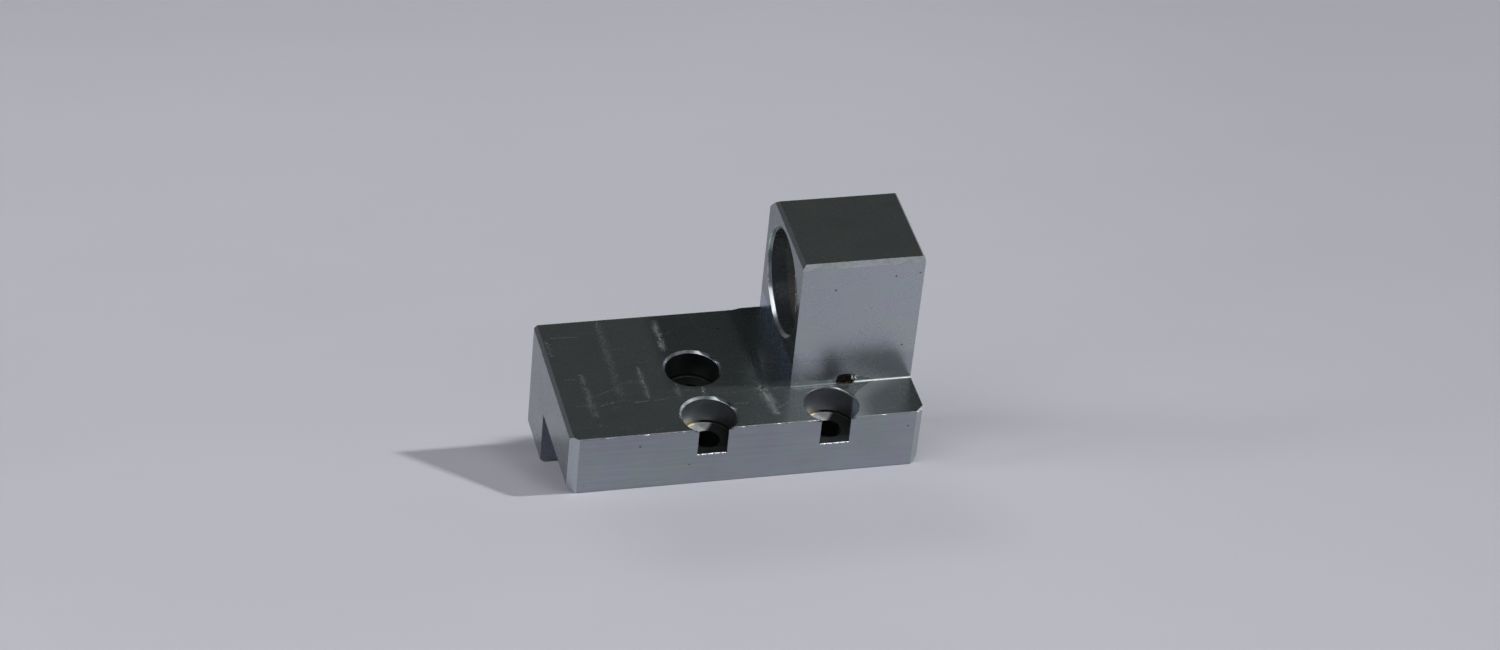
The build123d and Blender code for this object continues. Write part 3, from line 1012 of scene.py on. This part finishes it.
class BLOCK_OT_crusts(bpy.types.Operator):
    """Fills the hollow with rust and the bottom corners of the sunk holes with dried salts"""

    bl_idname = "block.crusts"
    bl_label = "Rust and Salts"

    def execute(self, context):
        settings = context.scene.block_finish
        random = np.random.default_rng(77)
        rust, salts = rust_crust(settings), dried_salts(settings)
        fitted(surface_object("hollow_rust", hollow_lumps(random), rust, closed_across=True))
        fitted(surface_object("hollow_flakes", hollow_flakes(random), bare_zinc(settings)))
        left, right, rear = sizes.screws
        for name, screw, seed, open_half, raised, material in (
            ("front_left_salts", left, 41, 35, 0.0, salts),
            ("front_right_salts", right, 42, 35, 0.0, salts),
            ("rear_salts", rear, 43, -2, 0.16, rust),
        ):
            fitted(surface_object(name, well_salts(screw, seed, open_half, raised), material))
        return {"FINISHED"}


# ---------------------------------------------------------------------------------------------------
# Stage
# ---------------------------------------------------------------------------------------------------

# How bright and what colour the world is, by how far a direction rises from the floor
WORLD_STOPS = (
    (0.0, (0.44, 0.44, 0.48)),
    (0.12, (0.30, 0.305, 0.325)),
    (0.30, (0.15, 0.155, 0.165)),
    (0.60, (0.018, 0.020, 0.021)),
    (1.0, (0.003, 0.0035, 0.004)),
)
# The camera's place in metres, and which way its right and its view look
CAMERA_PLACE = (-0.19848, -0.61822, 0.52236)
CAMERA_RIGHT = (0.9683493, -0.23491115, 0.08435865)
CAMERA_VIEW = (0.2374626, 0.76294556, -0.60126998)


def floor_axes():
    """The floor's backward and upward directions: the block lies tipped, on its front edge and its lip."""
    tilt = sizes.floor_tilt
    return Vector((0, math.cos(tilt), -math.sin(tilt))), Vector((0, math.sin(tilt), math.cos(tilt)))


def block_middle():
    """The middle of the block's box, in metres."""
    return (Vector(cad_box[0]) + Vector(cad_box[1])) / 2


def studio_floor(colour):
    """A pale, faintly uneven sheet with a little dust. It is seen through from beneath, and fades far from
    the block into the pale world."""
    pattern = Pattern("studio_floor")
    x, y, mix = pattern.x, pattern.y, pattern.mix
    cloud, mottle, _ = pattern.noises(0.012)
    grain = pattern.noises(0.9, detail=1)[0]
    dust = pattern.specks(0.11, 0.30, 0.10, shift=4)
    painted = mix(cloud.rise(-0.6, 0.6), tinted(colour, 0.985), tinted(colour, 1.015))
    painted = mix(dust * 0.7, painted, tinted(colour, 0.72))
    # Painted light and shade: paler behind the block, darker to its right, and a painted shadow and
    # reflection of the block just before it
    painted = mix(y.rise(60.0, 520.0) * 0.5, painted, tinted(colour, 1.2))
    near_front = y.between(-62.0, -10.0, 16.0) * x.between(-38.0, 32.0, 14.0)
    shaded = ((x - y * 0.25).rise(30.0, 210.0) * 0.35).larger(near_front * 0.5)
    painted = mix(shaded, painted, tinted(colour, 0.8))
    rough, height = mottle * 0.03 + 0.58, grain * 0.004 + dust * 0.03
    material = pattern.join(colour=painted, metal=0.0, rough=rough, height=height)
    pattern.surface.inputs["Specular IOR Level"].default_value = 0.25
    nodes, links = pattern.tree.nodes, pattern.tree.links
    underside = Field(pattern.tree, nodes.new("ShaderNodeNewGeometry").outputs["Backfacing"])
    away = pattern.distance(tuple(block_middle() / MM))
    blend = nodes.new("ShaderNodeMixShader")
    links.new(underside.larger(away.rise(650, 1500)).socket, blend.inputs[0])
    links.new(pattern.surface.outputs[0], blend.inputs[1])
    links.new(nodes.new("ShaderNodeBsdfTransparent").outputs[0], blend.inputs[2])
    links.new(blend.outputs[0], nodes["Material Output"].inputs["Surface"])
    return material


def area_lamp(name, towards, distance, width, height, power, colour):
    """A rectangular lamp at a distance from the block's middle, in the direction given, facing the block."""
    data = bpy.data.lights.new(name, "AREA")
    data.shape = "RECTANGLE"
    data.size, data.size_y = width, height
    data.energy = power
    data.color = colour
    lamp = bpy.data.objects.new(name, data)
    bpy.context.scene.collection.objects.link(lamp)
    towards = Vector(towards).normalized()
    lamp.location = block_middle() + towards * distance
    lamp.rotation_euler = towards.to_track_quat("Z", "Y").to_euler()


class BLOCK_OT_stage(bpy.types.Operator):
    """Builds the studio: the floor under the tipped block, the lamps, the world and the camera"""

    bl_idname = "block.stage"
    bl_label = "Studio Stage"

    def execute(self, context):
        settings = context.scene.block_stage
        back, up = floor_axes()
        self.build_floor(settings, back)
        self.build_lamps(settings, back, up)
        self.build_world(context, up)
        self.build_camera(context, settings)
        return {"FINISHED"}

    def build_floor(self, settings, back):
        """A long sheet: its points are the block's foot plus steps along X and along the floor's slope."""
        foot = np.array((0, sizes.foot_y, sizes.foot_z))
        across, along = np.meshgrid(np.linspace(-3000, 3000, 9), np.linspace(-2500, 4000, 9))
        sheet = foot + across[..., None] * np.array((1, 0, 0)) + along[..., None] * np.array(back)
        floor = surface_object("studio_floor", sheet, studio_floor(settings.floor_colour))

    def build_lamps(self, settings, back, up):
        """Four lamps. All but the top one's directions are steps to the right, back and up from the floor."""

        def from_floor(right, backward, rise):
            return Vector((right, 0, 0)) + back * backward + up * rise

        white, warm, cool = (1, 1, 1), (1, 1, 0.985), (0.94, 0.95, 1)
        for name, towards, distance, width, height, power, colour in (
            ("key_lamp", from_floor(0.952, -0.619, 1.0), 9.0, 0.58, 0.58, settings.key_power, warm),
            ("top_lamp", (0.2247, -0.1692, 0.9594), 4.0, 1.4, 1.4, settings.top_power, white),
            ("fill_lamp", from_floor(-0.6, -0.75, 0.75), 2.5, 2.0, 1.2, settings.fill_power, white),
            ("left_lamp", from_floor(-0.9, 0.05, 0.42), 2.0, 0.8, 0.5, settings.left_power, cool),
        ):
            area_lamp(name, towards, distance, width, height, power, colour)

    def build_world(self, context, up):
        """A pale studio that darkens towards the ceiling."""
        world = bpy.data.worlds.new("studio_world")
        context.scene.world = world
        world.use_nodes = True
        nodes, links = world.node_tree.nodes, world.node_tree.links
        background = nodes["Background"]
        place = nodes.new("ShaderNodeTexCoord")
        rise = nodes.new("ShaderNodeVectorMath")
        rise.operation = "DOT_PRODUCT"
        rise.inputs[1].default_value = up
        ramp = nodes.new("ShaderNodeValToRGB")
        ramp.color_ramp.interpolation = "EASE"
        elements = ramp.color_ramp.elements
        for element, (position, colour) in zip(elements, (WORLD_STOPS[0], WORLD_STOPS[-1])):
            element.position, element.color = position, (*colour, 1)
        for position, colour in WORLD_STOPS[1:-1]:
            elements.new(position).color = (*colour, 1)
        links.new(place.outputs["Generated"], rise.inputs[0])
        links.new(rise.outputs["Value"], ramp.inputs[0])
        links.new(ramp.outputs[0], background.inputs["Color"])
        background.inputs["Strength"].default_value = 1.0

    def build_camera(self, context, settings):
        """A long lens, looking slightly down on the tipped block from its left front."""
        data = bpy.data.cameras.new("camera")
        data.sensor_width = 36
        data.lens = settings.lens
        data.clip_start, data.clip_end = 0.01, 20
        camera = bpy.data.objects.new("camera", data)
        context.scene.collection.objects.link(camera)
        right, view = Vector(CAMERA_RIGHT), Vector(CAMERA_VIEW)
        turn = Matrix((right, right.cross(view), -view)).transposed()
        camera.matrix_world = Matrix.Translation(CAMERA_PLACE) @ turn.to_4x4()
        context.scene.camera = camera


# ---------------------------------------------------------------------------------------------------
# Panel and registration
# ---------------------------------------------------------------------------------------------------


class VIEW3D_PT_mounting_block(bpy.types.Panel):
    """Lists the block's operators and their settings"""

    bl_label = "Mounting Block"
    bl_space_type = "VIEW_3D"
    bl_region_type = "UI"
    bl_category = "Mounting Block"

    def draw(self, context):
        for operator in OPERATORS:
            self.layout.operator(operator.bl_idname)
        for settings in (context.scene.block_finish, context.scene.block_stage):
            for name in settings.__annotations__:
                self.layout.prop(settings, name)


OPERATORS = (BLOCK_OT_plating, BLOCK_OT_chatter, BLOCK_OT_burrs, BLOCK_OT_crusts, BLOCK_OT_stage)
CLASSES = (BlockStageSettings, BlockFinishSettings, *OPERATORS, VIEW3D_PT_mounting_block)


def register():
    for cls in CLASSES:
        bpy.utils.register_class(cls)
    bpy.types.Scene.block_stage = bpy.props.PointerProperty(type=BlockStageSettings)
    bpy.types.Scene.block_finish = bpy.props.PointerProperty(type=BlockFinishSettings)


def unregister():
    del bpy.types.Scene.block_finish
    del bpy.types.Scene.block_stage
    for cls in reversed(CLASSES):
        bpy.utils.unregister_class(cls)


def main():
    register()
    bpy.context.scene.view_settings.view_transform = "Standard"
    for operator in OPERATORS:
        group, name = operator.bl_idname.split(".")
        getattr(getattr(bpy.ops, group), name)()


if __name__ == "__main__":
    main()
